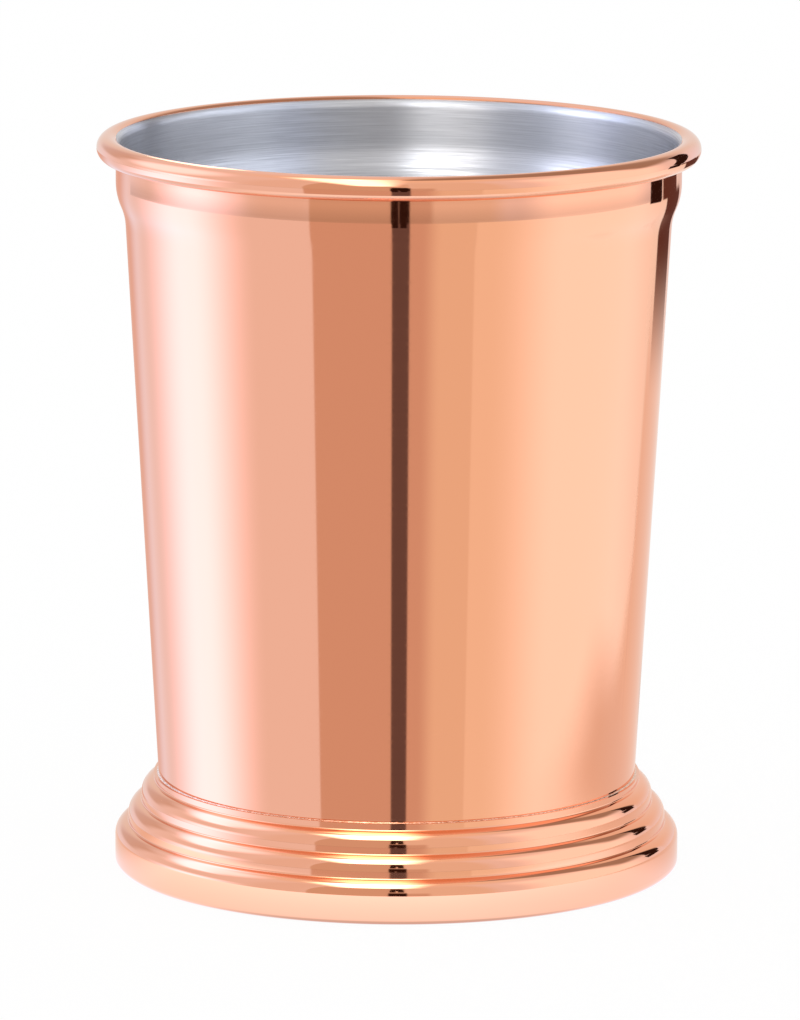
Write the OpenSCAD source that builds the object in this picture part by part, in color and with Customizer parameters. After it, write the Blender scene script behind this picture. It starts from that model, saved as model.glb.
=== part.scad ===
// Julep cup: a drawn steel shell with a rolled rim, plated with copper outside,
// standing in a pressed ring with three reeds that is soldered to its wall.
// Millimetres. The origin is on the table under the cup's axis, and +Z is up.
// Each sheet is drawn from its outer face, going down from the lip or up from the floor.

/* [Overall] */
// Height from the table to the top of the rim
height = 110.7; // [96:0.1:130]
// Diameter over the rolled rim
rim_d = 90; // [78:0.5:104]

/* [Shell] */
// Thickness of the shell's steel sheet
shell_t = 0.5; // [0.4:0.05:0.7]
// Thickness of the copper plating, drawn several times thicker than it is deposited
plating_t = 0.12; // [0.1:0.01:0.16]
// Outside diameter of the roll's section at the rim
roll_d = 3.6; // [3.2:0.1:5]
// Gap left between the roll's plated cut edge and the collar
roll_gap = 0.12; // [0.1:0.02:0.3]
// Height of the upright collar, down from the middle of the roll
collar_h = 5.2; // [3.5:0.1:8]
// How far the wall steps in below the collar
step_in = 1.45; // [0.6:0.05:2.5]
// Bend radius of the two curves that make the step
step_r = 8.5; // [6:0.5:14]
// Lean of the wall from upright, in degrees
wall_lean = 3.27; // [1.5:0.01:4.5]
// Outside radius of the corner between wall and floor
corner_r = 4; // [2:0.25:7]
// Height of the floor's underside above the table
floor_h = 3.5; // [2:0.25:6]
// Where the plating stops on the inner shoulder of the roll, in degrees above level
plating_stop = 52; // [30:1:75]

/* [Foot ring] */
// Thickness of the ring's sheet
ring_t = 0.5; // [0.4:0.05:0.7]
// Number of reeds
reeds = 3; // [2:1:3]
// Height of the ring's lip above the table
foot_h = 13.9; // [12:0.1:20]
// Height of the plain lip above the first reed
lip_h = 0.8; // [0.5:0.1:1.5]
// Gap between the lip and the plated wall, filled with solder
lip_gap = 0.15; // [0.1:0.01:0.3]
// How far each reed stands out beyond the one above it
reed_out = 1.98; // [1.2:0.02:2.2]
// Bend radius of a reed's round shoulder
reed_r = 2.15; // [2:0.05:2.4]
// Bend radius of the groove between two reeds
groove_r = 0.25; // [0.2:0.05:0.5]
// Upright run at the bottom of a reed, above the next groove
reed_run = 0.82; // [0.4:0.02:1]
// Outside radius of the bend at the ring's bottom edge
hem_r = 1; // [0.8:0.1:1.8]
// Width of the flat hem that the cup stands on
hem_w = 2.5; // [1.5:0.1:4]

/* [Solder] */
// How far the solder climbs the wall above the lip
solder_rise = 0.15; // [0.1:0.05:0.6]
// How far the solder spreads over the top of the lip
solder_spread = 0.1; // [0.05:0.05:0.35]

/* [Hidden] */
copper = "#e9a884";
steel = "#b9bdc2";
solder = "#c8c2bb";
steps = 16; // straight pieces in a quarter of a bend
$fn = 180;

// Roll: its middle, and its radii from the plated outside to the inside face
roll_r = roll_d / 2;
roll_mid = [rim_d / 2 - roll_r, height - roll_r];
roll_in = roll_r - plating_t - shell_t;
roll_end = 270 + asin((roll_in - plating_t - roll_gap) / roll_r);
roll_turn = roll_end - plating_t / roll_in * 180 / PI;

// Step between the collar and the wall: two equal bends that lean out to step_lean
collar_out = roll_mid.x - roll_in;
collar_low = roll_mid.y - collar_h;
step_lean = acos((1 + cos(wall_lean) - step_in / step_r) / 2);
step_high_mid = [collar_out - step_r, collar_low];
step_turn = step_high_mid + step_r * [cos(step_lean), -sin(step_lean)];
step_low_mid = step_turn + step_r * [cos(step_lean), -sin(step_lean)];
wall_top = step_low_mid - step_r * [cos(wall_lean), -sin(wall_lean)];

// Radius of the wall's steel face, moved out by a distance, at a height
function wall_at(z, out = 0) = wall_top.x - (wall_top.y - z) * tan(wall_lean) + out / cos(wall_lean);

// Corner between the wall and the floor
corner_z = floor_h + plating_t + corner_r;
corner_mid = [wall_at(corner_z) - corner_r / cos(wall_lean), corner_z];

// Reeds: how far the sheet turns outward, and the upper end of each groove
lip_in = plating_t + lip_gap;
lip_low = foot_h - lip_h;
reed_turn = acos(1 - reed_out / (reed_r + groove_r));
reed_drop = (reed_r + groove_r) * sin(reed_turn) + reed_run;
lip_drop = groove_r * sin(wall_lean);
lip_draw = groove_r * (1 - cos(wall_lean));
first_groove = [wall_at(lip_low, lip_in + ring_t) - lip_draw, lip_low - lip_drop];
function groove_at(i) = first_groove + i * [reed_out, -reed_drop];
foot_r = groove_at(reeds).x;
hem_mid = [foot_r - hem_r, hem_r];
hem_end = hem_mid.x - hem_w;

// Points along a bend round a centre, from one angle to another
function bend(mid, r, from, to) =
    let (n = max(2, ceil(abs(to - from) / 90 * steps)))
    [for (i = [0 : n]) let (a = from + (to - from) * i / n) mid + r * [cos(a), sin(a)]];

function backward(points) = [for (i = [len(points) - 1 : -1 : 0]) points[i]];

// Face of the shell from the corner up to the roll, moved out of the steel by a distance
function wall_face(out) = concat(
    bend(corner_mid, corner_r + out, -90, -wall_lean),
    bend(step_low_mid, step_r - out, 180 - wall_lean, 180 - step_lean),
    bend(step_high_mid, step_r + out, -step_lean, 0));

// Face of the roll, moved out of the steel by a distance, from one angle of turn to another
function roll_face(out, from, to) = bend(roll_mid, roll_in - out, 180 - from, 180 - to);

// Face of the foot ring from its lip down to its hem, moved out of the sheet by a distance
function ring_face(out) = concat(
    [[wall_at(foot_h, lip_in + ring_t + out), foot_h]],
    [for (i = [0 : reeds - 1]) each reed_face(i, out)],
    bend(hem_mid, hem_r + out, 0, -90),
    [[hem_end, -out]]);

function reed_face(i, out) =
    let (groove_mid = groove_at(i) + [groove_r, 0])
    let (reed_mid = groove_mid - (groove_r + reed_r) * [cos(reed_turn), sin(reed_turn)])
    concat(
        bend(groove_mid, groove_r - out, 180 - (i == 0 ? wall_lean : 0), 180 + reed_turn),
        bend(reed_mid, reed_r + out, reed_turn, 0));

module turned(points) {
    rotate_extrude() polygon(points);
}

module cup_shell() {
    floor_z = floor_h + plating_t;
    color(steel) turned(concat(
        [[0, floor_z]],
        wall_face(0),
        roll_face(0, 0, roll_turn),
        backward(roll_face(-shell_t, 0, roll_turn)),
        backward(wall_face(-shell_t)),
        [[0, floor_z + shell_t]]));
}

module copper_plating() {
    color(copper) turned(concat(
        [[0, floor_h]],
        wall_face(plating_t),
        roll_face(plating_t, 0, roll_end),
        backward(roll_face(-shell_t - plating_t, plating_stop, roll_end)),
        roll_face(-shell_t, plating_stop, roll_turn),
        backward(roll_face(0, 0, roll_turn)),
        backward(wall_face(0)),
        [[0, floor_h + plating_t]]));
}

module foot_ring() {
    color(copper) turned(concat(ring_face(0), backward(ring_face(-ring_t))));
}

module lip_solder() {
    top = foot_h + solder_rise;
    color(solder) turned([
        [wall_at(lip_low, plating_t), lip_low],
        [wall_at(lip_low, lip_in), lip_low],
        [wall_at(foot_h, lip_in), foot_h],
        [wall_at(foot_h, lip_in) + solder_spread, foot_h],
        [wall_at(top, plating_t), top]]);
}

cup_shell();
copper_plating();
foot_ring();
lip_solder();
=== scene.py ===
import logging
import math
from dataclasses import dataclass
from enum import Enum
from typing import Any, Optional, Union

import bmesh
import bpy
from mathutils import Matrix, Vector, noise


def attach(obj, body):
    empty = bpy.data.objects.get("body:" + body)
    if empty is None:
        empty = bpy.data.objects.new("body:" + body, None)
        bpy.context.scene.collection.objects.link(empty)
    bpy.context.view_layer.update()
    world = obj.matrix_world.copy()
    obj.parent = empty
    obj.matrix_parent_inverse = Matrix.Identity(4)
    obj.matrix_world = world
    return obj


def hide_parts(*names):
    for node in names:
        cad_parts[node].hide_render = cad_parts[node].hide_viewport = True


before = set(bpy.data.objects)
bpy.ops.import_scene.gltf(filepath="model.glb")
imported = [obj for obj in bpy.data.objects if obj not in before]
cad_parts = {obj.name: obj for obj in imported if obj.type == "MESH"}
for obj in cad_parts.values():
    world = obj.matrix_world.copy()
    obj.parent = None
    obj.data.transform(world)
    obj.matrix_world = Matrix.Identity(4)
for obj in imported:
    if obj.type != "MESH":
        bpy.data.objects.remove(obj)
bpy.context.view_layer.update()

log = logging.getLogger("julep_cup")

MM = 0.001
AROUND = 216  # faces round the axis
BEND_STEP = 4.0  # degrees of bend in one straight piece
RUN_STEP = 2.7  # millimetres of straight run in one piece
WELD = 0.0002  # millimetres within which points are joined
SHARP = 40.0  # degrees between faces from which an edge looks sharp
NOISE_SPAN = (0.3, 0.7)  # nearly all values of a noise lie between these
ACROSS = 0.25  # part of a turn that lays stretched highlights across the scratches
UP = (0.0, 0.0, 1.0)
DOWN = (0.0, 0.0, -1.0)
BACK = (0.0, 1.0, 0.0)
TO_RIGHT = (0.25, -0.04, -0.187)
TO_LEFT = (-0.72, -0.69, 0.0)
FROM_FRONT = (0.545, 0.839, 0.0)
FROM_LEFT = (0.819, -0.574, 0.0)
WHITE = "#ffffff"
WINDOW = "#c8d1ff"  # light of the boxes at the left
TABLE = "#d8e9ff"  # the table farther away, as metal shows it
DARK = ("#ffb0a0", 0.03)  # colour and level of the flags

Object = bpy.types.Object
Material = bpy.types.Material
Tree = bpy.types.NodeTree
Socket = bpy.types.NodeSocket
Pair = tuple[float, float]
Point = tuple[float, float, float]
Linear = tuple[float, float, float, float]
Setting = Union[float, tuple, str, bool, Socket]
Inputs = dict[Union[str, int], Setting]


class Slot(Enum):
    """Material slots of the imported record."""

    STEEL = "brushed_steel"
    COPPER = "polished_copper"
    SOLDER = "soft_solder"


class Ray(Enum):
    """Kinds of ray that the stage answers in different ways."""

    CAMERA = "Is Camera Ray"
    GLOSSY = "Is Glossy Ray"


class Ease(Enum):
    """Ways from one end of a ramp to the other."""

    STRAIGHT = "LINEAR"
    SMOOTH = "SMOOTHSTEP"


def linear(hex_colour: str, level: float = 1.0) -> Linear:
    """Turn an sRGB hex colour into linear light.

    Args:
        hex_colour: Colour as "#rrggbb".
        level: Factor on the linear values.

    Returns:
        Red, green, blue and an alpha of 1.
    """
    parts = [int(hex_colour[i : i + 2], 16) / 255 for i in (1, 3, 5)]
    light = [p / 12.92 if p <= 0.04045 else ((p + 0.055) / 1.055) ** 2.4 for p in parts]
    return (light[0] * level, light[1] * level, light[2] * level, 1.0)


def outward(lean: float) -> Vector:
    """Unit step, as radius and height, out of a face that leans by so many degrees."""
    a = math.radians(lean)
    return Vector((math.cos(a), -math.sin(a)))


def add_node(
    tree: Tree, kind: str, settings: Optional[dict[str, Any]] = None, inputs: Optional[Inputs] = None
) -> bpy.types.Node:
    """Add a node, set its properties, and set or link its inputs.

    Args:
        tree: Node tree that gets the node.
        kind: Blender's name for the type of node.
        settings: Properties of the node by name.
        inputs: Value, or output socket to link, by the input's name or number.

    Returns:
        The new node.
    """
    node = tree.nodes.new(kind)
    for name, value in (settings or {}).items():
        setattr(node, name, value)
    for key, value in (inputs or {}).items():
        if isinstance(value, Socket):
            tree.links.new(value, node.inputs[key])
        else:
            node.inputs[key].default_value = value
    return node


def maths(tree: Tree, operation: str, *terms: Setting, clamp: bool = False) -> Socket:
    """Add a maths node and give its result.

    Args:
        tree: Node tree that gets the node.
        operation: Blender's name for the operation.
        terms: Values or sockets that go in.
        clamp: Whether the result is held between 0 and 1.

    Returns:
        Socket of the result.
    """
    settings = {"operation": operation, "use_clamp": clamp}
    return add_node(tree, "ShaderNodeMath", settings, dict(enumerate(terms))).outputs["Value"]


def vector_maths(tree: Tree, operation: str, *terms: Setting, scale: Optional[Setting] = None) -> Socket:
    """Add a maths node for vectors and give its result.

    Args:
        tree: Node tree that gets the node.
        operation: Blender's name for the operation.
        terms: Vectors that go in.
        scale: Factor, for SCALE alone.

    Returns:
        Socket of the result, which is a number for LENGTH and else a vector.
    """
    inputs: Inputs = dict(enumerate(terms))
    if scale is not None:
        inputs["Scale"] = scale
    node = add_node(tree, "ShaderNodeVectorMath", {"operation": operation}, inputs)
    return node.outputs["Value" if operation == "LENGTH" else "Vector"]


def ramp(
    tree: Tree,
    measure: Socket,
    span: Pair,
    ends: tuple[Setting, Setting] = (0.0, 1.0),
    ease: Ease = Ease.STRAIGHT,
) -> Socket:
    """Map a measure to values that hold beyond both ends of a span.

    Args:
        tree: Node tree that gets the node.
        measure: Socket of the measure.
        span: Measures between which the value changes.
        ends: Values, or their sockets, at both ends of the span.
        ease: Way from one end to the other.

    Returns:
        Socket of the value.
    """
    names = ("Value", "From Min", "From Max", "To Min", "To Max")
    settings = {"interpolation_type": ease.value}
    inputs = dict(zip(names, (measure, *span, *ends)))
    return add_node(tree, "ShaderNodeMapRange", settings, inputs).outputs["Result"]


def soft_edge(tree: Tree, measure: Socket, at: float, fade: float) -> Socket:
    """Add a soft edge in a measure.

    Args:
        tree: Node tree that gets the node.
        measure: Socket of the measure.
        at: Place of the edge.
        fade: Width of the edge, below 0 for one that falls.

    Returns:
        Socket that goes from 0 below the edge to 1 above it, or from 1 to 0 where the edge falls.
    """
    return ramp(tree, measure, (at - fade / 2, at + fade / 2), ease=Ease.SMOOTH)


def lay(tree: Tree, mask: Socket, under: Setting, over: Setting, label: str = "") -> Socket:
    """Lay one colour over another where a mask is 1.

    Args:
        tree: Node tree that gets the node.
        mask: Socket of the mask.
        under: Colour where the mask is 0.
        over: Colour where the mask is 1.
        label: Name of what is laid.

    Returns:
        Socket of the colour.
    """
    settings = {"data_type": "RGBA", "label": label}
    return add_node(tree, "ShaderNodeMix", settings, {0: mask, 6: under, 7: over}).outputs[2]


def mix_shaders(tree: Tree, mask: Setting, under: Socket, over: Socket) -> Socket:
    """Mix two shaders.

    Args:
        tree: Node tree that gets the node.
        mask: Share of the second shader.
        under: First shader.
        over: Second shader.

    Returns:
        Socket of the mixed shader.
    """
    return add_node(tree, "ShaderNodeMixShader", inputs={0: mask, 1: under, 2: over}).outputs["Shader"]


def glow(tree: Tree, colour: Setting, level: float = 1.0) -> Socket:
    """Add a surface that gives light of a colour at a level."""
    inputs = {"Color": colour, "Strength": level}
    return add_node(tree, "ShaderNodeEmission", inputs=inputs).outputs["Emission"]


def pattern(tree: Tree, place: Socket, size_mm: float, detail: float, roughness: float = 0.5) -> Socket:
    """Add a noise.

    Args:
        tree: Node tree that gets the node.
        place: Socket of the place, in metres.
        size_mm: Size of the noise's largest grains.
        detail: Number of finer layers.
        roughness: Weight of the finer layers.

    Returns:
        Socket of the noise.
    """
    inputs = {"Vector": place, "Scale": 1 / (size_mm * MM), "Detail": detail, "Roughness": roughness}
    return add_node(tree, "ShaderNodeTexNoise", inputs=inputs).outputs["Fac"]


def relief(
    tree: Tree, height: Socket, depth_mm: float, strength: float = 1.0, under: Optional[Socket] = None
) -> Socket:
    """Add relief to a surface.

    Args:
        tree: Node tree that gets the node.
        height: Socket of the relief's height, from 0 to 1.
        depth_mm: Depth of the relief.
        strength: Share of the relief that shows.
        under: Relief on which this one lies.

    Returns:
        Socket of the surface's direction.
    """
    inputs: Inputs = {"Height": height, "Distance": depth_mm * MM, "Strength": strength}
    if under is not None:
        inputs["Normal"] = under
    return add_node(tree, "ShaderNodeBump", inputs=inputs).outputs["Normal"]


def add_metal(tree: Tree, inputs: Inputs) -> None:
    """Add the shader of a metal and the material's output.

    Args:
        tree: Node tree of the material.
        inputs: Value, or socket to link, by the name of the shader's input.
    """
    shader = add_node(tree, "ShaderNodeBsdfPrincipled", inputs={"Metallic": 1.0, **inputs})
    add_node(tree, "ShaderNodeOutputMaterial", inputs={"Surface": shader.outputs["BSDF"]})


def new_material(name: str) -> Material:
    """Make an empty node material.

    Args:
        name: Name of the material.

    Returns:
        The material.
    """
    material = bpy.data.materials.new(name)
    material.use_nodes = True
    material.node_tree.nodes.clear()
    return material


@dataclass(frozen=True)
class PolishedCopper:
    """Bright copper plate, buffed on a turning cup.

    It is close to a mirror, with a colour that pales only at grazing angles. The press leaves faint waves
    that make straight reflections waver, and the buff leaves hair lines that run round the cup.
    """

    name: str = "buffed_copper_plate"
    colour: str = "#f2ac86"
    roughness: float = 0.045
    haze: float = 0.02
    wave_mm: float = 14.0
    wave_depth_mm: float = 0.0016
    hair_mm: float = 0.7  # real hair lines are about 0.05 mm apart, drawn coarser so that they show
    hair_depth_mm: float = 0.00006
    hair_run: float = 0.02  # how slowly the pattern changes along a hair line, against across it

    def material(self) -> Material:
        """Build the copper's nodes.

        Returns:
            The material.
        """
        material = new_material(self.name)
        tree = material.node_tree
        place = add_node(tree, "ShaderNodeTexCoord").outputs["Object"]
        wave = pattern(tree, place, self.wave_mm, detail=1.0, roughness=0.4)
        drawn_out = {"Vector": place, "Scale": (self.hair_run, self.hair_run, 1.0)}
        turned = add_node(tree, "ShaderNodeMapping", inputs=drawn_out).outputs["Vector"]
        hair = pattern(tree, turned, self.hair_mm, detail=3.0, roughness=0.6)
        waves = relief(tree, wave, self.wave_depth_mm)
        ends = (self.roughness - self.haze, self.roughness + self.haze)
        add_metal(
            tree,
            {
                "Base Color": linear(self.colour),
                "Roughness": ramp(tree, hair, NOISE_SPAN, ends),
                "Normal": relief(tree, hair, self.hair_depth_mm, under=waves),
            },
        )
        return material


@dataclass(frozen=True)
class BrushedSteel:
    """Stainless steel, brushed with the cup turning.

    Fine scratches run round the wall and in rings on the floor. They drag each light into a tall soft band
    and leave light and dark streaks along the scratches.
    """

    name: str = "brushed_stainless_steel"
    light: str = "#dcdddf"
    dark: str = "#bebfc1"
    roughness: float = 0.38
    haze: float = 0.08
    anisotropy: float = 0.85
    scratch_mm: float = 0.21  # real scratches are about 0.05 mm apart, drawn coarser so that they show
    scratch_depth_mm: float = 0.0012
    scratch_run: float = 0.018  # how slowly the pattern changes along a scratch, against across it

    def material(self) -> Material:
        """Build the steel's nodes.

        Returns:
            The material.
        """
        material = new_material(self.name)
        tree = material.node_tree
        place = add_node(tree, "ShaderNodeTexCoord").outputs["Object"]
        parts = add_node(tree, "ShaderNodeSeparateXYZ", inputs={"Vector": place}).outputs
        level = {"X": parts["X"], "Y": parts["Y"]}
        flat = add_node(tree, "ShaderNodeCombineXYZ", inputs=level).outputs["Vector"]
        across = maths(tree, "ADD", parts["Z"], vector_maths(tree, "LENGTH", flat))
        lift = add_node(tree, "ShaderNodeCombineXYZ", inputs={"Z": across}).outputs["Vector"]
        along = vector_maths(tree, "SCALE", flat, scale=self.scratch_run)
        drawn = vector_maths(tree, "ADD", along, lift)
        scratch = pattern(tree, drawn, self.scratch_mm, detail=5.0, roughness=0.65)
        tone = ramp(tree, scratch, NOISE_SPAN)
        grain = add_node(tree, "ShaderNodeTangent", {"direction_type": "RADIAL", "axis": "Z"})
        ends = (self.roughness + self.haze, self.roughness - self.haze)
        add_metal(
            tree,
            {
                "Base Color": lay(tree, tone, linear(self.dark), linear(self.light)),
                "Roughness": ramp(tree, scratch, NOISE_SPAN, ends),
                "Anisotropic": self.anisotropy,
                "Anisotropic Rotation": ACROSS,
                "Normal": relief(tree, scratch, self.scratch_depth_mm),
                "Tangent": grain.outputs["Tangent"],
            },
        )
        return material


@dataclass(frozen=True)
class SoftSolder:
    """Tin solder left in a seam, wiped and buffed with the copper beside it.

    It is grey and dull between brighter specks that the buff has reached, with a blush of copper over it.
    """

    name: str = "wiped_tin_solder"
    grey: str = "#d6bda9"
    bright: str = "#fff2e6"
    roughness: float = 0.42
    speck_mm: float = 0.5
    speck_span: Pair = (0.4, 0.65)
    lump_mm: float = 0.03
    lump_strength: float = 0.6

    def material(self) -> Material:
        """Build the solder's nodes.

        Returns:
            The material.
        """
        material = new_material(self.name)
        tree = material.node_tree
        place = add_node(tree, "ShaderNodeTexCoord").outputs["Object"]
        speck = pattern(tree, place, self.speck_mm, detail=3.0)
        tone = ramp(tree, speck, self.speck_span)
        add_metal(
            tree,
            {
                "Base Color": lay(tree, tone, linear(self.grey), linear(self.bright)),
                "Roughness": self.roughness,
                "Normal": relief(tree, speck, self.lump_mm, self.lump_strength),
            },
        )
        return material


class Section:
    """Half section of a turned piece, drawn edge after edge with the axis on its left, in millimetres."""

    def __init__(self, r: float, z: float) -> None:
        """Start the drawing at a radius and a height."""
        self.mesh = bmesh.new()
        self.tip = self.mesh.verts.new((r * MM, 0.0, z * MM))

    def run(self, r: float, z: float) -> None:
        """Draw straight to a point.

        Args:
            r: Radius of the point.
            z: Height of the point.
        """
        whole = Vector((r * MM, 0.0, z * MM)) - self.tip.co
        pieces = max(1, math.ceil(whole.length / (RUN_STEP * MM)))
        for _ in range(pieces):
            made = bmesh.ops.extrude_vert_indiv(self.mesh, verts=[self.tip])
            self.tip = made["verts"][0]
            bmesh.ops.translate(self.mesh, verts=[self.tip], vec=whole / pieces)

    def step(self, distance: float, mid: Vector) -> None:
        """Draw straight away from the middle of a bend.

        Args:
            distance: Length of the step, less than 0 towards the middle.
            mid: Middle of the bend, as radius and height.
        """
        here = Vector((self.tip.co.x, self.tip.co.z)) / MM
        there = here + (here - mid).normalized() * distance
        self.run(there.x, there.y)

    def bend(self, mid: Vector, degrees: float) -> None:
        """Draw an arc round a middle.

        Args:
            mid: Middle of the arc, as radius and height.
            degrees: Angle of the arc, above 0 for anticlockwise.
        """
        made = bmesh.ops.spin(
            self.mesh,
            geom=[self.tip],
            cent=(mid.x * MM, 0.0, mid.y * MM),
            axis=(0.0, -1.0, 0.0),
            angle=math.radians(degrees),
            steps=max(2, math.ceil(abs(degrees) / BEND_STEP)),
            use_merge=False,
        )
        self.tip = [e for e in made["geom_last"] if isinstance(e, bmesh.types.BMVert)][0]

    def turn(self) -> bmesh.types.BMesh:
        """Turn the section round the axis into a closed solid.

        Returns:
            The mesh of the solid.
        """
        bmesh.ops.spin(
            self.mesh,
            geom=self.mesh.verts[:] + self.mesh.edges[:],
            cent=(0.0, 0.0, 0.0),
            axis=UP,
            angle=math.tau,
            steps=AROUND,
            use_merge=True,
        )
        bmesh.ops.remove_doubles(self.mesh, verts=self.mesh.verts[:], dist=WELD * MM)
        bmesh.ops.recalc_face_normals(self.mesh, faces=self.mesh.faces[:])
        return self.mesh


def finish_piece(mesh: bmesh.types.BMesh, node: str, material: Material) -> Object:
    """Turn a mesh into the piece that stands for a CAD node.

    Args:
        mesh: Finished mesh, with its place in it.
        node: CAD node that the piece replaces.
        material: Material of the whole piece.

    Returns:
        The piece.
    """
    name = f"{node}_dressed"
    data = bpy.data.meshes.new(name)
    mesh.to_mesh(data)
    mesh.free()
    data.shade_smooth()
    data.set_sharp_from_angle(angle=math.radians(SHARP))
    data.materials.append(material)
    piece = bpy.data.objects.new(name, data)
    bpy.context.scene.collection.objects.link(piece)
    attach(piece, "root")
    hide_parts(node)
    data.calc_loop_triangles()
    log.info("%s: %d triangles", piece.name, len(data.loop_triangles))
    return piece


@dataclass(frozen=True)
class PlatedCup:
    """Drawn steel shell with its rim rolled outward, and the copper plate on its outside.

    Sizes are in millimetres and degrees, and the same as the CAD's.
    """

    height: float = 110.7
    rim_d: float = 90.0
    steel_t: float = 0.5
    plate_t: float = 0.12
    roll_d: float = 3.6
    roll_gap: float = 0.12
    collar_h: float = 5.2
    step_in: float = 1.45
    step_r: float = 8.5
    lean: float = 3.27
    corner_r: float = 4.0
    floor_h: float = 3.5
    plate_stop: float = 52.0

    @property
    def roll_mid(self) -> Vector:
        """Middle of the roll, as radius and height."""
        return Vector((self.rim_d / 2 - self.roll_d / 2, self.height - self.roll_d / 2))

    @property
    def roll_in(self) -> float:
        """Radius of the roll's steel on its hollow side."""
        return self.roll_d / 2 - self.plate_t - self.steel_t

    @property
    def roll_end(self) -> float:
        """Angle through which the plate turns in the roll."""
        inset = self.roll_in - self.plate_t - self.roll_gap
        return 270 + math.degrees(math.asin(inset / (self.roll_d / 2)))

    @property
    def roll_turn(self) -> float:
        """Angle through which the steel turns in the roll."""
        return self.roll_end - math.degrees(self.plate_t / self.roll_in)

    @property
    def step_lean(self) -> float:
        """Lean of the wall where the two bends of its step meet."""
        inset = 1 + math.cos(math.radians(self.lean)) - self.step_in / self.step_r
        return math.degrees(math.acos(inset / 2))

    @property
    def step_high_mid(self) -> Vector:
        """Middle of the upper bend of the step."""
        return Vector((self.roll_mid.x - self.roll_in - self.step_r, self.roll_mid.y - self.collar_h))

    @property
    def step_low_mid(self) -> Vector:
        """Middle of the lower bend of the step."""
        return self.step_high_mid + 2 * self.step_r * outward(self.step_lean)

    def wall_top(self, out: float) -> Vector:
        """Upper end of the wall's straight run, moved out of the steel by a distance."""
        return self.step_low_mid - (self.step_r - out) * outward(self.lean)

    def wall_at(self, z: float, out: float = 0.0) -> float:
        """Find the radius of the wall.

        Args:
            z: Height.
            out: Distance by which the wall's face is moved out of the steel.

        Returns:
            The radius of the face at that height.
        """
        a = math.radians(self.lean)
        top = self.wall_top(0.0)
        return top.x - (top.y - z) * math.tan(a) + out / math.cos(a)

    @property
    def corner_mid(self) -> Vector:
        """Middle of the bend between the wall and the floor."""
        z = self.floor_h + self.plate_t + self.corner_r
        return Vector((self.wall_at(z) - self.corner_r / math.cos(math.radians(self.lean)), z))

    def rise(self, section: Section, out: float) -> None:
        """Draw a face of the shell from the axis up to the roll.

        Args:
            section: Section that gets the face.
            out: Distance by which the face is moved out of the steel.
        """
        top = self.wall_top(out)
        section.run(self.corner_mid.x, self.floor_h + self.plate_t - out)
        section.bend(self.corner_mid, 90 - self.lean)
        section.run(top.x, top.y)
        section.bend(self.step_low_mid, self.lean - self.step_lean)
        section.bend(self.step_high_mid, self.step_lean)
        section.run(self.roll_mid.x - self.roll_in + out, self.roll_mid.y)

    def fall(self, section: Section, out: float) -> None:
        """Draw a face of the shell from the roll down to the axis.

        Args:
            section: Section that gets the face.
            out: Distance by which the face is moved out of the steel.
        """
        section.run(self.roll_mid.x - self.roll_in + out, self.roll_mid.y - self.collar_h)
        section.bend(self.step_high_mid, -self.step_lean)
        section.bend(self.step_low_mid, self.step_lean - self.lean)
        low = self.corner_mid + (self.corner_r + out) * outward(self.lean)
        section.run(low.x, low.y)
        section.bend(self.corner_mid, self.lean - 90)
        section.run(0.0, self.floor_h + self.plate_t - out)

    def shell(self, steel: BrushedSteel) -> Object:
        """Build the steel shell.

        Args:
            steel: Finish of the shell.

        Returns:
            The shell's piece.
        """
        section = Section(0.0, self.floor_h + self.plate_t)
        self.rise(section, 0.0)
        section.bend(self.roll_mid, -self.roll_turn)
        section.step(self.steel_t, self.roll_mid)
        section.bend(self.roll_mid, self.roll_turn)
        self.fall(section, -self.steel_t)
        return finish_piece(section.turn(), "cup_shell", steel.material())

    def plate(self, copper: PolishedCopper) -> Object:
        """Build the copper plate.

        Args:
            copper: Finish of the plate.

        Returns:
            The plate's piece.
        """
        section = Section(0.0, self.floor_h)
        self.rise(section, self.plate_t)
        section.bend(self.roll_mid, -self.roll_end)
        section.step(self.steel_t + 2 * self.plate_t, self.roll_mid)
        section.bend(self.roll_mid, self.roll_end - self.plate_stop)
        section.step(-self.plate_t, self.roll_mid)
        section.bend(self.roll_mid, self.plate_stop - self.roll_turn)
        section.step(-self.steel_t, self.roll_mid)
        section.bend(self.roll_mid, self.roll_turn)
        self.fall(section, 0.0)
        return finish_piece(section.turn(), "copper_plating", copper.material())


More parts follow.
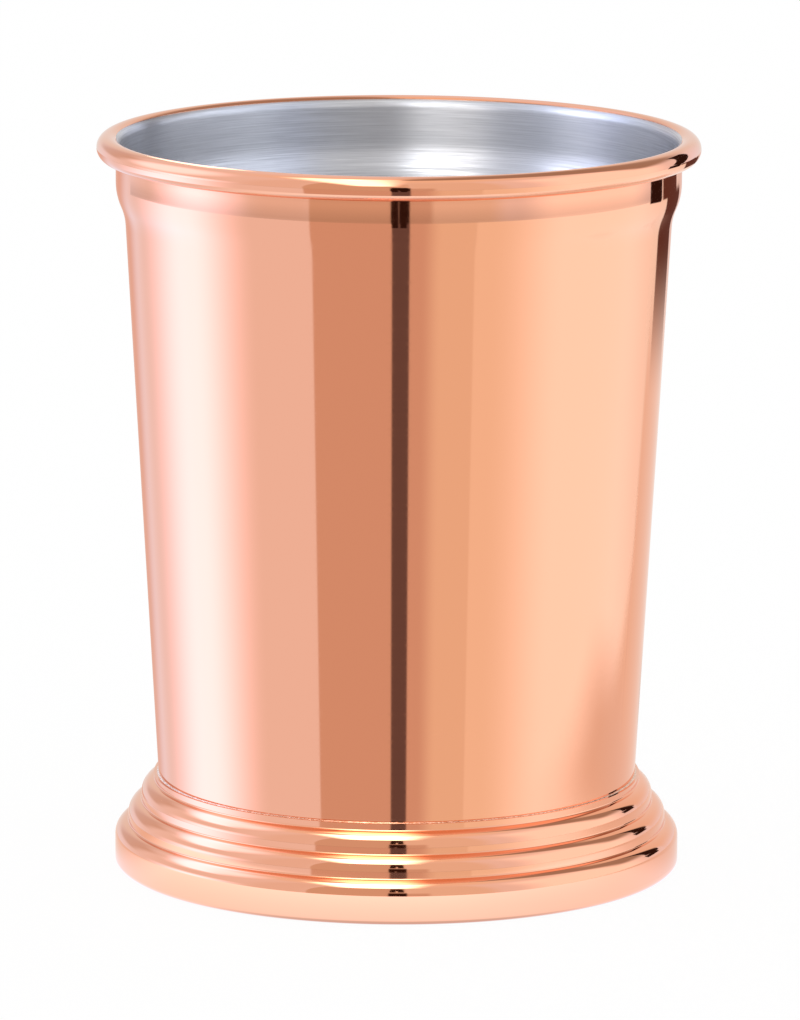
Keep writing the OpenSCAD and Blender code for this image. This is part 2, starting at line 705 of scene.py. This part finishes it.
@dataclass(frozen=True)
class ReededFoot:
    """Pressed ring with three reeds round the foot of the cup, and the solder that holds it to the wall.

    Sizes are in millimetres, and the same as the CAD's.
    """

    cup: PlatedCup
    sheet_t: float = 0.5
    reeds: int = 3
    height: float = 13.9
    lip_h: float = 0.8
    lip_gap: float = 0.15
    reed_out: float = 1.98
    reed_r: float = 2.15
    groove_r: float = 0.25
    reed_run: float = 0.82
    hem_r: float = 1.0
    hem_w: float = 2.5
    solder_rise: float = 0.15
    solder_spread: float = 0.1
    solder_wander: float = 0.05  # half of how far the solder's top edge sinks
    solder_lump: float = 0.9  # length of such a dip along the seam

    @property
    def reed_turn(self) -> float:
        """Angle through which the sheet turns outward at a groove."""
        return math.degrees(math.acos(1 - self.reed_out / (self.reed_r + self.groove_r)))

    @property
    def lip_out(self) -> float:
        """Distance from the wall's steel to the outer face of the lip."""
        return self.cup.plate_t + self.lip_gap + self.sheet_t

    @property
    def lip_low(self) -> Vector:
        """Lower end of the lip's outer face, as radius and height."""
        low = self.height - self.lip_h
        return Vector((self.cup.wall_at(low, self.lip_out), low))

    def groove_mid(self, index: int) -> Vector:
        """Find the middle of the bend of a groove.

        Args:
            index: Number of the groove, counted from the top.

        Returns:
            The middle, as radius and height.
        """
        first = self.lip_low + self.groove_r * outward(self.cup.lean)
        drop = (self.reed_r + self.groove_r) * math.sin(math.radians(self.reed_turn)) + self.reed_run
        return first + index * Vector((self.reed_out, -drop))

    def reed_mid(self, index: int) -> Vector:
        """Middle of the bend of a reed, counted from the top."""
        return self.groove_mid(index) - (self.groove_r + self.reed_r) * outward(-self.reed_turn)

    @property
    def hem_mid(self) -> Vector:
        """Middle of the bend between the last reed and the hem."""
        return Vector((self.reed_mid(self.reeds - 1).x + self.reed_r - self.hem_r, self.hem_r))

    def ring(self, copper: PolishedCopper) -> Object:
        """Build the reeded ring.

        Args:
            copper: Finish of the ring.

        Returns:
            The ring's piece.
        """
        section = Section(self.cup.wall_at(self.height, self.lip_out), self.height)
        first = section.tip
        section.run(self.lip_low.x, self.lip_low.y)
        turns = [self.reed_turn + self.cup.lean] + [self.reed_turn] * (self.reeds - 1)
        lows = [self.groove_mid(i).y for i in range(1, self.reeds)] + [self.hem_mid.y]
        for i, (turn, low) in enumerate(zip(turns, lows)):
            section.bend(self.groove_mid(i), turn)
            section.bend(self.reed_mid(i), -self.reed_turn)
            section.run(self.reed_mid(i).x + self.reed_r, low)
        section.bend(self.hem_mid, -90)
        section.run(self.hem_mid.x - self.hem_w, 0.0)
        section.run(self.hem_mid.x - self.hem_w, self.sheet_t)
        section.run(self.hem_mid.x, self.sheet_t)
        section.bend(self.hem_mid, 90)
        for i in reversed(range(self.reeds)):
            section.run(self.reed_mid(i).x + self.reed_r - self.sheet_t, self.reed_mid(i).y)
            section.bend(self.reed_mid(i), self.reed_turn)
            section.bend(self.groove_mid(i), -turns[i])
        section.run(self.cup.wall_at(self.height, self.lip_out - self.sheet_t), self.height)
        section.mesh.edges.new((section.tip, first))
        return finish_piece(section.turn(), "foot_ring", copper.material())

    def solder(self, finish: SoftSolder) -> Object:
        """Build the solder in the seam, with an edge that wanders.

        Args:
            finish: Finish of the solder.

        Returns:
            The solder's piece.
        """
        low = self.height - self.lip_h
        top = self.height + self.solder_rise
        inner = self.cup.plate_t
        outer = self.cup.plate_t + self.lip_gap
        section = Section(self.cup.wall_at(low, inner), low)
        first = section.tip
        section.run(self.cup.wall_at(low, outer), low)
        section.run(self.cup.wall_at(self.height, outer), self.height)
        section.run(self.cup.wall_at(self.height, outer) + self.solder_spread, self.height)
        section.run(self.cup.wall_at(top, inner), top)
        section.mesh.edges.new((section.tip, first))
        mesh = section.turn()
        slope = math.tan(math.radians(self.cup.lean))
        for vert in mesh.verts:
            if vert.co.z > (self.height + self.solder_rise / 2) * MM:
                sink = self.solder_wander * (1 + noise.noise(vert.co / (self.solder_lump * MM)))
                flat = Vector((vert.co.x, vert.co.y, 0.0)).normalized()
                vert.co -= sink * MM * (Vector(UP) + slope * flat)
        return finish_piece(mesh, "lip_solder", finish.material())


def flat_sheet(name: str, reach: Pair, material: Material) -> Object:
    """Make a flat rectangle for the studio, level and at the origin.

    Args:
        name: Name of the rectangle.
        reach: Half its width and half its length, in metres.
        material: Its material.

    Returns:
        The rectangle.
    """
    mesh = bmesh.new()
    bmesh.ops.create_grid(mesh, x_segments=1, y_segments=1, size=1.0)
    bmesh.ops.scale(mesh, vec=(*reach, 1.0), verts=mesh.verts[:])
    data = bpy.data.meshes.new(name)
    mesh.to_mesh(data)
    mesh.free()
    data.materials.append(material)
    sheet = bpy.data.objects.new(name, data)
    bpy.context.scene.collection.objects.link(sheet)
    return sheet


@dataclass(frozen=True)
class Strip:
    """One upright part of the studio that polished metal mirrors, in degrees.

    On the wall its place is given by the faces that show it to someone in front of the cup. A face at
    30 degrees to the right shows what stands 60 degrees to the right, which is the strip's turn, and its
    height is how far such a face looks up. So a strip looks straight on the wall, whatever its lean.
    Elsewhere turn and height are the compass angle and the height of the strip itself.
    """

    name: str
    turn: float
    half_width: float
    fade: float
    colour: str
    level: float
    low: float = -90.0
    high: float = 90.0
    low_fade: float = 0.4
    high_fade: float = 0.4

    def mask(self, tree: Tree, turn: Socket, height: Socket) -> Socket:
        """Build the mask of the strip.

        Args:
            tree: Node tree of the world.
            turn: Turn of each direction, in degrees.
            height: Height of each direction, in degrees.

        Returns:
            Socket that is 1 on the strip and 0 away from it.
        """
        aside = maths(tree, "SUBTRACT", turn, self.turn)
        away = maths(tree, "ABSOLUTE", maths(tree, "WRAP", aside, 180.0, -180.0))
        inside = soft_edge(tree, away, self.half_width, -self.fade)
        if self.low > -90.0:
            inside = maths(tree, "MULTIPLY", inside, soft_edge(tree, height, self.low, self.low_fade))
        if self.high < 90.0:
            inside = maths(tree, "MULTIPLY", inside, soft_edge(tree, height, self.high, -self.high_fade))
        return inside


@dataclass(frozen=True)
class Panel:
    """Soft box, dark flag, or patch of painted light or painted shade on the table close to the cup, which
    shows only in polished metal.

    Its middle, its half sizes and the fades of its edges, across and upward, are in metres. It faces along
    a direction, and its spin about that is in degrees.
    """

    name: str
    middle: Point
    faces: Point
    half: Pair
    fade: Pair
    colour: str
    level: float
    is_round: bool = False
    spin: float = 0.0

    def build(self) -> Object:
        """Build the panel.

        Returns:
            The panel.
        """
        reach = (self.half[0] + self.fade[0], self.half[1] + self.fade[1])
        panel = flat_sheet(self.name, reach, self.material())
        aim = Vector(self.faces).to_track_quat("Z", "Y").to_matrix().to_4x4()
        spin = Matrix.Rotation(math.radians(self.spin), 4, "Z")
        panel.matrix_world = Matrix.Translation(self.middle) @ aim @ spin
        return panel

    def inside(self, tree: Tree) -> Socket:
        """Build the mask of the panel's face.

        Args:
            tree: Node tree of the material.

        Returns:
            Socket that is 1 on the face and falls to 0 at its edges.
        """
        place = add_node(tree, "ShaderNodeTexCoord").outputs["Object"]
        if self.is_round:
            size = (1 / self.half[0], 1 / self.half[1], 1.0)
            away = vector_maths(tree, "LENGTH", vector_maths(tree, "MULTIPLY", place, size))
            return soft_edge(tree, away, 1.0, -self.fade[0] / self.half[0])
        parts = add_node(tree, "ShaderNodeSeparateXYZ", inputs={"Vector": place}).outputs
        edges = [
            soft_edge(tree, maths(tree, "ABSOLUTE", parts[axis]), half, -fade)
            for axis, half, fade in zip("XY", self.half, self.fade)
        ]
        return maths(tree, "MULTIPLY", *edges)

    def material(self) -> Material:
        """Build the panel's nodes: a light that fades at its edges and is clear to the camera.

        Returns:
            The material.
        """
        material = new_material(self.name)
        tree = material.node_tree
        path = add_node(tree, "ShaderNodeLightPath").outputs
        side = add_node(tree, "ShaderNodeNewGeometry").outputs["Backfacing"]
        front = maths(tree, "SUBTRACT", path[Ray.GLOSSY.value], side)
        seen = maths(tree, "MULTIPLY", self.inside(tree), front, clamp=True)
        clear = add_node(tree, "ShaderNodeBsdfTransparent").outputs["BSDF"]
        mixed = mix_shaders(tree, seen, clear, glow(tree, linear(self.colour), self.level))
        add_node(tree, "ShaderNodeOutputMaterial", inputs={"Surface": mixed})
        material.cycles.emission_sampling = "NONE"
        return material


@dataclass(frozen=True)
class Lamp:
    """Small lamp over the mouth of the cup, which the camera doesn't see.

    Its middle and its size, across and upward, are in metres. At level 1 its face is white.
    """

    name: str
    middle: Point
    faces: Point
    size: Pair
    colour: str
    level: float

    def build(self) -> Object:
        """Build the lamp.

        Returns:
            The lamp.
        """
        data = bpy.data.lights.new(self.name, "AREA")
        data.shape = "RECTANGLE"
        data.size, data.size_y = self.size
        data.color = linear(self.colour)[:3]
        data.energy = self.level * math.pi * self.size[0] * self.size[1]
        lamp = bpy.data.objects.new(self.name, data)
        aim = Vector(self.faces).to_track_quat("-Z", "Y").to_matrix().to_4x4()
        lamp.matrix_world = Matrix.Translation(self.middle) @ aim
        lamp.visible_camera = False
        lamp.visible_diffuse = False
        bpy.context.scene.collection.objects.link(lamp)
        return lamp


@dataclass(frozen=True)
class Studio:
    """White table, soft light, and the cards, boxes, flags and lamps that stand round the cup.

    Lengths are in metres and angles in degrees. A level is an amount of light, where 1 is white.
    """

    table_half: float = 2.0
    table_glow: float = 0.96  # share of the table's white that no shadow darkens
    matt: str = "#fbfbfb"
    near: str = "#d9e7ff"  # the table just in front of the cup, as metal shows it
    near_r: float = 0.068
    near_fade: float = 0.006
    # painted shadow under the cup's edge, and painted shade that dims the table's light close to the foot
    painted_shadow_level: float = 0.3  # level under the cup
    near_level: float = 1.75
    near_bright: float = 2.3
    contact_r: float = 0.0416
    contact_fade: float = 0.0012
    right_span: Pair = (0.005, 0.040)
    right_level: float = 0.93  # light of the table at the right, against its middle
    behind: str = "#ffeee4"
    behind_level: float = 0.95
    behind_y: float = -0.004
    behind_fade: float = 0.032
    steep_level: float = 0.64  # light of the table seen from above, against a low view of it
    steep_facing: Pair = (0.08, 0.30)
    viewer_height: float = 8.3
    card: str = "#e6ecff"
    card_level: float = 1.22
    soft_level: float = 1.0
    brink: float = -1.25  # lean of the faces that show the far edge of the table
    brink_fade: float = 0.3
    brink_shade: float = 0.7  # light of the room just above that edge, against the rest of it
    brink_top: float = -0.2
    skyline: float = -11.6  # height of the table's far edge, seen from the foot
    skyline_fade: float = 0.6
    plain_level: float = 1.85
    side_right: float = 135.5  # turn from which the cup's sides show the table above the brink too
    side_left: float = -141.0
    side_top: float = 1.5
    side_fade: float = 1.0

    def wall_strips(self) -> list[Strip]:
        """List what the wall mirrors on the table, each strip laid over those before it.

        Returns:
            The strips in the order in which they are laid.
        """
        return [
            Strip("right_side", 80.0, 90.0, 20.0, "#fffffb", 1.02),
            Strip("left_box", -100.0, 20.5, 36.0, WINDOW, 3.3, -26.0, 90.0, 3.0),
            Strip("right_box", 92.0, 36.0, 36.0, "#e4efff", 1.68),
            Strip("back_card", 180.0, 24.0, 24.0, "#ffe4db", 0.85),
            Strip("back_left_card", -168.0, 14.0, 20.0, "#fccebc", 0.84),
            Strip("right_card", 20.0, 11.8, 1.0, "#fffaf2", 0.93),
            Strip("front_left_card", -17.0, 19.2, 1.0, "#ffe9e3", 0.74),
            Strip("front_right_card", 2.0, 11.5, 9.0, "#ffe9e3", 0.74),
            Strip("camera_gap", 0.9, 3.6, 1.0, "#ffe2eb", 0.151),
            Strip("flag_on_collar", 145.8, 9.6, 1.2, "#ffae9c", 0.127, -2.6, 90.0, 1.6),
            Strip("flag_on_table", 152.0, 10.6, 1.6, "#ffae9c", 0.127, -27.0, -1.0, 2.0, 0.6),
            Strip("low_table", 0.0, 58.0, 70.0, TABLE, 1.7, -90.0, -25.5, 0.4, 3.0),
        ]

    def room_strips(self) -> list[Strip]:
        """List the cards that stand beyond the table, each laid over those before it.

        Returns:
            The strips in the order in which they are laid.
        """
        return [
            Strip("left_card", -92.0, 17.0, 32.0, WINDOW, 3.4, -90.0, 3.0, 1.0, 10.0),
            Strip("right_card", 88.0, 30.0, 20.0, "#eaf0ff", 1.62, -90.0, 50.0, 1.0, 20.0),
            Strip("ceiling", 0.0, 180.0, 0.1, "#fffaf6", 1.0, 62.0, 90.0, 20.0),
            Strip("dim_corner", 143.0, 32.0, 16.0, "#fff0e8", 0.42, 23.0, 90.0, 13.0),
            Strip("back_card", 180.0, 22.0, 24.0, "#fffdfb", 0.88, -90.0, 34.0, 1.0, 14.0),
            Strip("front_left_card", -48.0, 13.0, 14.0, "#f4f4ff", 1.02, -90.0, 58.0, 1.0, 8.0),
            Strip("front_card", -16.0, 20.4, 1.0, "#fff0e8", 0.75, -90.0, 52.0, 1.0, 10.0),
            Strip("front_right_card", 22.0, 19.0, 10.0, "#fffcfc", 0.92, -90.0, 62.0, 1.0, 20.0),
            Strip("front_middle_card", 5.0, 8.5, 3.0, "#ffeee8", 0.73, -90.0, 12.0, 1.0, 14.0),
            Strip("dim_left_card", -148.0, 14.0, 14.0, "#fff6fa", 0.74, 6.0, 30.0, 8.0, 10.0),
            Strip("camera_dark", 0.6, 3.8, 0.8, "#ffb0a0", 0.035, -90.0, 16.0, 1.0, 10.0),
            Strip("camera_line", -0.2, 0.45, 0.4, "#ffe8e8", 0.25, -90.0, -4.0, 1.0, 2.0),
        ]

    def panels(self) -> list[Panel]:
        """List the soft boxes, flags, and patches of painted light and painted shade on the table close to
        the cup.

        Returns:
            The panels.
        """
        thin = (0.0015, 0.0015)
        crisp = (0.004, 0.004)
        warm = ("#fff1e9", 0.95)
        at_left = (-0.125, 0.022, 0.1)
        at_key = (-0.25, 0.04, 0.237)
        by_flag = (0.0545, 0.0385, 0.0435)
        on_table = (0.094, 0.085, 0.0006)
        in_shade = (0.097, 0.016, 0.0012)
        return [
            Panel("top_box", (-0.024, -0.1, 0.188), DOWN, (0.019, 0.07), (0.022, 0.022), "#f4f8ff", 3.6),
            Panel("foot_box", (-0.016, -0.0775, 0.1), DOWN, (0.026, 0.0335), (0.028, 0.012), "#fbfcff", 6.0),
            Panel("side_box", at_left, DOWN, (0.075, 0.03), (0.03, 0.05), WINDOW, 3.6, spin=-27.0),
            Panel("key_box", at_key, TO_RIGHT, (0.1, 0.1), (0.1, 0.1), "#d2dcff", 2.5, is_round=True),
            Panel("flag", (0.254, 0.237, 0.175), TO_LEFT, (0.036, 0.1), crisp, *DARK, spin=28.0),
            Panel("flag_low", (0.295, 0.1945, 0.066), TO_LEFT, (0.0335, 0.026), crisp, *DARK),
            Panel("lens_top", (0.0009, -0.18, 0.1255), BACK, (0.0085, 0.0305), thin, *DARK),
            Panel("lens_left", (-0.0041, -0.18, 0.0775), BACK, (0.0036, 0.0175), thin, *DARK),
            Panel("lens_right", (0.0056, -0.18, 0.0775), BACK, (0.0036, 0.0175), thin, *DARK),
            Panel("light_by_flag", by_flag, TO_LEFT, (0.022, 0.0315), (0.004, 0.026), *warm),
            # painted light and painted shade on the table: light_on_table is a painted pool of light,
            # shade_by_flag a painted shadow
            Panel("light_on_table", on_table, UP, (0.045, 0.09), (0.03, 0.05), *warm, spin=-30.0),
            Panel("shade_by_flag", in_shade, UP, (0.03, 0.045), (0.05, 0.08), "#fff8fa", 0.9, spin=-62.0),
        ]

    def lamps(self) -> list[Lamp]:
        """List the small lamps that light the inside of the cup.

        Returns:
            The lamps.
        """
        return [
            Lamp("front_lamp", (-0.0221, -0.0347, 0.134), FROM_FRONT, (0.033, 0.034), WHITE, 3.2),
            Lamp("side_lamp", (-0.0338, 0.0237, 0.136), FROM_LEFT, (0.024, 0.028), "#fffaf2", 2.0),
        ]

    @staticmethod
    def angles(tree: Tree, way: Socket, widen: float) -> tuple[Socket, Socket]:
        """Build the compass angle and the height of a direction.

        Args:
            tree: Node tree of the world.
            way: Direction of unit length.
            widen: Factor on the compass angle.

        Returns:
            Sockets of the angle from the viewer to the right, and of the height, both in degrees.
        """
        parts = add_node(tree, "ShaderNodeSeparateXYZ", inputs={"Vector": way}).outputs
        aside = maths(tree, "ARCTAN2", parts["X"], maths(tree, "MULTIPLY", parts["Y"], -1.0))
        height = maths(tree, "ARCSINE", parts["Z"])
        return maths(tree, "MULTIPLY", aside, math.degrees(widen)), maths(tree, "DEGREES", height)

    def lay_strips(self, tree: Tree, strips: list[Strip], turn: Socket, height: Socket) -> Socket:
        """Lay strips over the plain card of the studio.

        Args:
            tree: Node tree of the world.
            strips: Strips in the order in which they are laid.
            turn: Turn of each direction, in degrees.
            height: Height of each direction, in degrees.

        Returns:
            Socket of the colour.
        """
        shown: Setting = linear(self.card, self.card_level)
        for strip in strips:
            mask = strip.mask(tree, turn, height)
            shown = lay(tree, mask, shown, linear(strip.colour, strip.level), strip.name)
        return shown

    def surroundings(self, tree: Tree) -> Socket:
        """Build what polished metal mirrors: the table as the wall shows it, and the room above it.

        Args:
            tree: Node tree of the world.

        Returns:
            Socket that gives the colour in each direction.
        """
        way = add_node(tree, "ShaderNodeTexCoord").outputs["Generated"]
        up = math.radians(self.viewer_height)
        viewer = (0.0, -math.cos(up), math.sin(up))
        face = vector_maths(tree, "NORMALIZE", vector_maths(tree, "ADD", way, viewer))
        turn, lean = self.angles(tree, face, 2.0)
        compass, height = self.angles(tree, way, 1.0)
        table = self.lay_strips(tree, self.wall_strips(), turn, lean)
        room = self.lay_strips(tree, self.room_strips(), compass, height)
        shade = ramp(tree, lean, (self.brink, self.brink_top), (self.brink_shade, 1.0))
        room = vector_maths(tree, "SCALE", room, scale=shade)
        plain = soft_edge(tree, height, self.skyline, -self.skyline_fade)
        room = lay(tree, plain, room, linear(TABLE, self.plain_level), "plain_table")
        rightmost = soft_edge(tree, turn, self.side_right, self.side_fade)
        leftmost = soft_edge(tree, turn, self.side_left, -self.side_fade)
        level = soft_edge(tree, lean, self.side_top, -self.side_fade)
        beside = maths(tree, "MULTIPLY", maths(tree, "ADD", rightmost, leftmost), level)
        below = maths(tree, "MAXIMUM", soft_edge(tree, lean, self.brink, -self.brink_fade), beside)
        return lay(tree, below, room, table, "table")

    def light(self) -> None:
        """Light the scene: white to the camera, the surroundings to polished metal, else soft white."""
        world = bpy.data.worlds.new("soft_studio")
        world.use_nodes = True
        tree = world.node_tree
        tree.nodes.clear()
        path = add_node(tree, "ShaderNodeLightPath").outputs
        soft = linear(WHITE, self.soft_level)
        shown = lay(tree, path[Ray.GLOSSY.value], soft, self.surroundings(tree))
        shown = lay(tree, path[Ray.CAMERA.value], shown, linear(WHITE))
        back = add_node(tree, "ShaderNodeBackground", inputs={"Color": shown, "Strength": 1.0})
        add_node(tree, "ShaderNodeOutputWorld", inputs={"Surface": back.outputs["Background"]})
        world.cycles.sampling_method = "NONE"
        bpy.context.scene.world = world

    def table(self) -> Object:
        """Build the white table.

        Returns:
            The table.
        """
        table = flat_sheet("table", (self.table_half, self.table_half), self.table_top())
        return table

    def near_table(self, tree: Tree, place: Socket, away: Socket) -> Socket:
        """Build the painted light and shadow of the table close to the cup, as polished metal shows it.

        Args:
            tree: Node tree of the table's material.
            place: Place on the table.
            away: Distance from the middle of the cup.

        Returns:
            Socket of the light.
        """
        parts = add_node(tree, "ShaderNodeSeparateXYZ", inputs={"Vector": place}).outputs
        facing = add_node(tree, "ShaderNodeLayerWeight", inputs={"Blend": 0.5}).outputs["Facing"]
        # painted shadow under the cup's edge, painted shade close to its foot, and less painted light at the
        # right and behind the cup
        open_table = ramp(tree, away, (self.contact_r, self.near_r), (self.near_level, self.near_bright))
        touch = soft_edge(tree, away, self.contact_r, self.contact_fade)
        strength = ramp(tree, touch, (0.0, 1.0), (self.painted_shadow_level, open_table))
        rightward = ramp(tree, parts["X"], self.right_span, (1.0, self.right_level), Ease.SMOOTH)
        strength = maths(tree, "MULTIPLY", strength, rightward)
        sheen = ramp(tree, facing, self.steep_facing, (self.steep_level, 1.0))
        strength = maths(tree, "MULTIPLY", strength, sheen)
        in_front = vector_maths(tree, "SCALE", linear(self.near)[:3], scale=strength)
        behind = soft_edge(tree, parts["Y"], self.behind_y, self.behind_fade)
        return lay(tree, behind, in_front, linear(self.behind, self.behind_level))

    def table_top(self) -> Material:
        """Build the table's material: white with a shadow, and clear to polished metal away from the cup.

        Returns:
            The material.
        """
        material = new_material("white_table")
        tree = material.node_tree
        path = add_node(tree, "ShaderNodeLightPath").outputs
        place = add_node(tree, "ShaderNodeTexCoord").outputs["Object"]
        away = vector_maths(tree, "LENGTH", place)
        far = soft_edge(tree, away, self.near_r + self.near_fade / 2, self.near_fade)
        near = glow(tree, self.near_table(tree, place, away))
        matt = add_node(tree, "ShaderNodeBsdfDiffuse", inputs={"Color": linear(self.matt)}).outputs["BSDF"]
        clear = add_node(tree, "ShaderNodeBsdfTransparent").outputs["BSDF"]
        white = mix_shaders(tree, self.table_glow, matt, glow(tree, linear(WHITE)))
        seen = mix_shaders(tree, path[Ray.CAMERA.value], matt, white)
        mirrored = mix_shaders(tree, far, near, clear)
        mixed = mix_shaders(tree, path[Ray.GLOSSY.value], seen, mirrored)
        add_node(tree, "ShaderNodeOutputMaterial", inputs={"Surface": mixed})
        material.cycles.emission_sampling = "NONE"
        return material


@dataclass(frozen=True)
class Viewpoint:
    """Camera of the photograph: a long lens a little above the rim, looking slightly down.

    Places are in metres, angles in degrees, and the lens and its sensor in millimetres.
    """

    distance: float = 1.1897
    height: float = 0.27928
    aside: float = 0.00036
    pitch: float = 10.73
    roll: float = 0.22
    lens: float = 284.8
    sensor: float = 36.0
    nearest: float = 0.05

    def place(self) -> Object:
        """Set the camera up.

        Returns:
            The camera.
        """
        data = bpy.data.cameras.new("camera")
        data.lens = self.lens
        data.sensor_width = self.sensor
        data.sensor_fit = "AUTO"
        data.clip_start = self.nearest
        camera = bpy.data.objects.new("camera", data)
        spot = Matrix.Translation((self.aside, -self.distance, self.height))
        aim = Matrix.Rotation(math.radians(90 - self.pitch), 4, "X")
        tip = Matrix.Rotation(math.radians(self.roll), 4, "Z")
        camera.matrix_world = spot @ aim @ tip
        bpy.context.scene.collection.objects.link(camera)
        bpy.context.scene.camera = camera
        return camera


def main() -> None:
    """Build the cup, its studio and its camera."""
    logging.basicConfig(level=logging.INFO, format="%(asctime)s %(name)s: %(message)s")
    bpy.context.scene.view_settings.view_transform = "Standard"
    copper = PolishedCopper()
    cup = PlatedCup()
    foot = ReededFoot(cup)
    studio = Studio()
    Viewpoint().place()
    cup.shell(BrushedSteel())
    cup.plate(copper)
    foot.ring(copper)
    foot.solder(SoftSolder())
    studio.table()
    studio.light()
    for item in [*studio.panels(), *studio.lamps()]:
        item.build()


if __name__ == "__main__":
    main()
